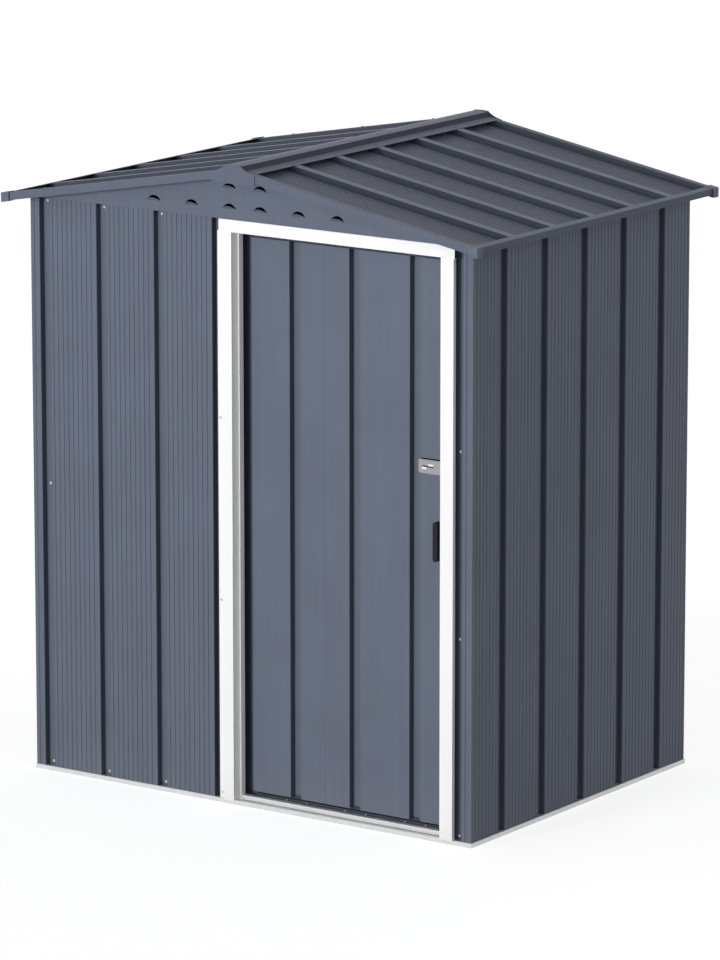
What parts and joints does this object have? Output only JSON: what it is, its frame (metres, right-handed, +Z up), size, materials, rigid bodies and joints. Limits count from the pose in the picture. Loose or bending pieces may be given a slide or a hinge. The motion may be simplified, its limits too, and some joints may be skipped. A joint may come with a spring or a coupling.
{
  "type": "tool_shed",
  "caption": "Grey painted sheet metal tool shed with a low gable roof, grooved walls, white door frame, galvanised base rails and a sliding door.",
  "frame": {"origin": "centre of the footprint at ground level, under the foot flanges of the base rails", "axes": "+X to the right seen from the doorway side, +Y from the doorway to the rear wall, +Z up"},
  "size_m": [1.583, 1.207, 1.7981],
  "materials": {
    "wall_paint": "satin grey coil-coated sheet",
    "gable_paint": "satin grey coil-coated sheet",
    "roof_paint": "satin grey coil-coated sheet",
    "trim_paint": "satin grey coil-coated sheet",
    "door_paint": "satin grey coil-coated sheet",
    "frame_paint": "dark grey painted channel",
    "white_paint": "white coil-coated sheet",
    "galvanised": "bright galvanised sheet steel",
    "hasp_steel": "zinc plated steel",
    "cap_plastic": "moulded grey plastic",
    "black_plastic": "moulded black plastic"
  },
  "bodies": {
    "shed": {"base_rail_front": "galvanised", "base_rail_rear": "galvanised", "base_rail_left": "galvanised", "base_rail_right": "galvanised", "front_wall_left": "wall_paint", "front_wall_right": "wall_paint", "rear_wall_left": "wall_paint", "rear_wall_right": "wall_paint", "left_wall_front": "wall_paint", "left_wall_rear": "wall_paint", "right_wall_front": "wall_paint", "right_wall_rear": "wall_paint", "top_rail_front": "galvanised", "top_rail_rear": "galvanised", "top_rail_left": "galvanised", "top_rail_right": "galvanised", "front_gable_left": "gable_paint", "front_gable_right": "gable_paint", "rear_gable_left": "gable_paint", "rear_gable_right": "gable_paint", "roof_left_front": "roof_paint", "roof_left_rear": "roof_paint", "roof_right_front": "roof_paint", "roof_right_rear": "roof_paint", "roof_beam": "galvanised", "ridge_cap": "trim_paint", "ridge_end_front": "trim_paint", "ridge_end_rear": "trim_paint", "eave_trim_left": "trim_paint", "eave_trim_right": "trim_paint", "rake_front_left": "trim_paint", "rake_front_right": "trim_paint", "rake_rear_left": "trim_paint", "rake_rear_right": "trim_paint", "corner_caps": "cap_plastic", "door_jamb_left": "white_paint", "door_jamb_right": "white_paint", "door_header": "white_paint", "door_sill": "galvanised", "door_track_top": "galvanised", "door_track_bottom": "galvanised"},
    "door": {"door_sheet_left": "door_paint", "door_sheet_right": "door_paint", "door_stile_left": "frame_paint", "door_stile_right": "frame_paint", "door_rail_top": "frame_paint", "door_rail_bottom": "frame_paint", "door_hangers": "black_plastic", "door_guides": "black_plastic", "door_handle": "black_plastic", "door_hasp": "hasp_steel"}
  },
  "joints": [
    {"name": "door_slide", "type": "slide", "parent": "shed", "child": "door", "axis": [-1, 0, 0], "range_m": [0, 0.565]}
  ]
}
